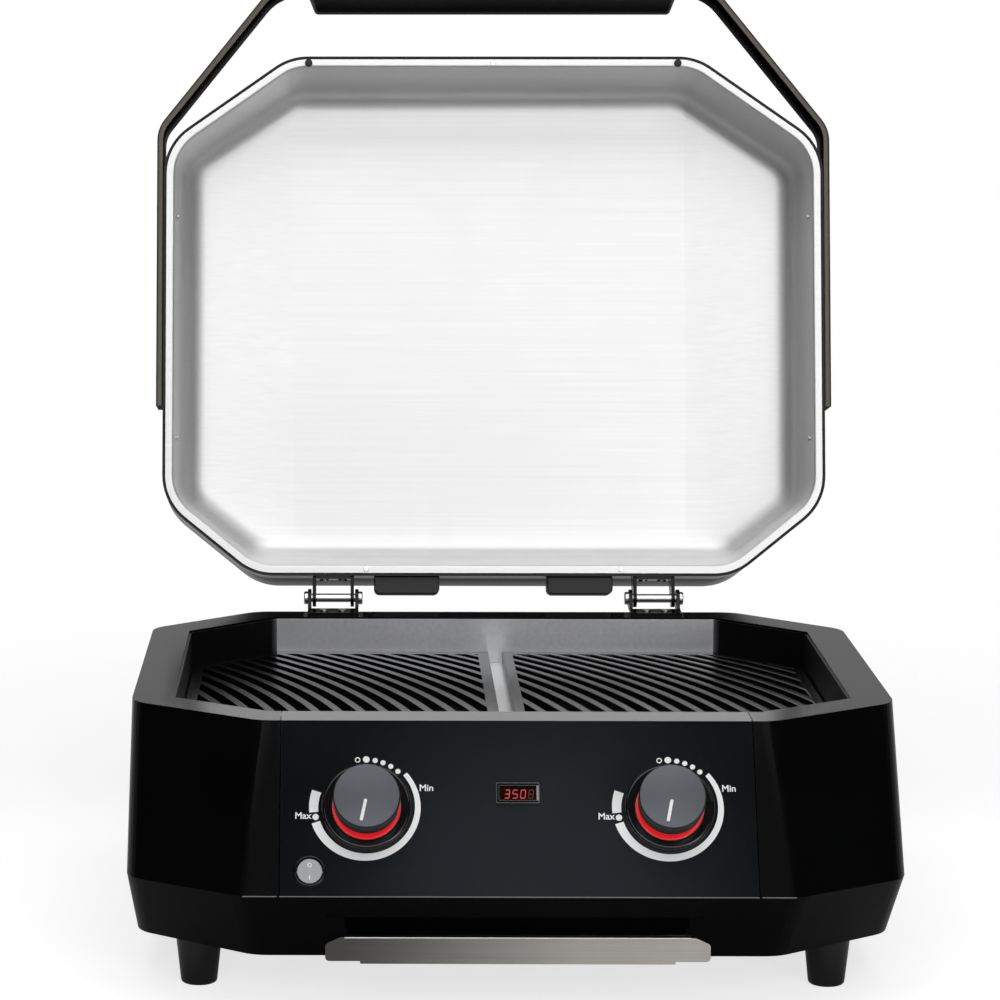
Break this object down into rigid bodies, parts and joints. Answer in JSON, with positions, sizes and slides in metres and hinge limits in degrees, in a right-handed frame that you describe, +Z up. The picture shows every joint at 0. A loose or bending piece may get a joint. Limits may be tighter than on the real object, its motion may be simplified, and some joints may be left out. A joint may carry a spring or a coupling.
{
  "type": "electric grill",
  "caption": "Countertop electric grill with an eight-sided body, hinged lid on a strap handle, curved-bar cast grates, lit dials on a slanted panel and a pull-out drip tray.",
  "frame": {"origin": "on the floor under the feet, at the middle of the resting box in X and Y, lid open", "axes": "+X to the right seen from the front, +Y to the back, +Z up; the lid stands open"},
  "size_m": [0.5916, 0.7506, 0.7676],
  "materials": {
    "black_paint": "satin black",
    "bright_steel": "bright",
    "brushed_steel": "brushed along its width",
    "strap_steel": "dark brushed",
    "box_steel": "dull",
    "cast_iron": "matt black enamel",
    "heating_tube": "heat-darkened",
    "grip_plastic": "matt black",
    "knob_plastic": "satin dark grey face",
    "gloss_black": "gloss black",
    "red_light": "clear red, lit",
    "clear_bezel": "silver",
    "display_glass": "smoked",
    "board_plastic": "moulded",
    "switch_grey": "light grey",
    "rubber_black": "matt"
  },
  "bodies": {
    "body": {"body_shell": "black_paint", "front_panel": "black_paint", "base_pan": "black_paint", "fire_box": "box_steel", "left_grate": "cast_iron", "right_grate": "cast_iron", "centre_bridge": "bright_steel", "left_heating_element": "heating_tube", "right_heating_element": "heating_tube", "element_carriers": "box_steel", "left_tray_rail": "box_steel", "right_tray_rail": "box_steel", "front_left_foot": "rubber_black", "front_right_foot": "rubber_black", "back_left_foot": "rubber_black", "back_right_foot": "rubber_black", "foot_screws": "bright_steel", "left_knob_bezel": "gloss_black", "right_knob_bezel": "gloss_black", "left_light_ring": "red_light", "right_light_ring": "red_light", "left_regulator": "board_plastic", "right_regulator": "board_plastic", "display_bezel": "clear_bezel", "display_window": "display_glass", "display_board": "board_plastic", "switch_housing": "switch_grey", "mains_inlet": "gloss_black", "left_body_hinge": "black_paint", "right_body_hinge": "black_paint", "left_hinge_pin": "bright_steel", "right_hinge_pin": "bright_steel", "body_hinge_screws": "bright_steel"},
    "lid": {"lid_shell": "black_paint", "lid_liner": "bright_steel", "lid_screws": "bright_steel", "left_lid_bumper": "rubber_black", "right_lid_bumper": "rubber_black", "left_lid_stop": "grip_plastic", "right_lid_stop": "grip_plastic", "left_lid_hinge": "black_paint", "right_lid_hinge": "black_paint", "lid_hinge_screws": "bright_steel", "handle_strap": "strap_steel", "handle_bolts": "bright_steel", "handle_grip": "grip_plastic"},
    "tray": {"drip_tray": "brushed_steel"},
    "left_dial": {"left_knob": "knob_plastic", "left_knob_shaft": "bright_steel"},
    "right_dial": {"right_knob": "knob_plastic", "right_knob_shaft": "bright_steel"},
    "rocker": {"switch_rocker": "switch_grey"}
  },
  "joints": [
    {"name": "lid_hinge", "type": "hinge", "parent": "body", "child": "lid", "pos_m": [0, 0.17341, 0.22], "axis": [1, 0, 0], "range_deg": [0, 102.5]},
    {"name": "drip_tray_slide", "type": "slide", "parent": "body", "child": "tray", "axis": [0, -1, 0], "range_m": [0, 0.26]},
    {"name": "left_knob_turn", "type": "hinge", "parent": "body", "child": "left_dial", "pos_m": [-0.1115, -0.33789, 0.15225], "axis": [0, 0.8552, -0.5183], "range_deg": [-200, 67]},
    {"name": "right_knob_turn", "type": "hinge", "parent": "body", "child": "right_dial", "pos_m": [0.1115, -0.33789, 0.15225], "axis": [0, 0.8552, -0.5183], "range_deg": [-200, 67]},
    {"name": "rocker_tilt", "type": "hinge", "parent": "body", "child": "rocker", "pos_m": [-0.153, -0.36072, 0.10879], "axis": [-1, 0, 0], "range_deg": [0, 12]}
  ]
}
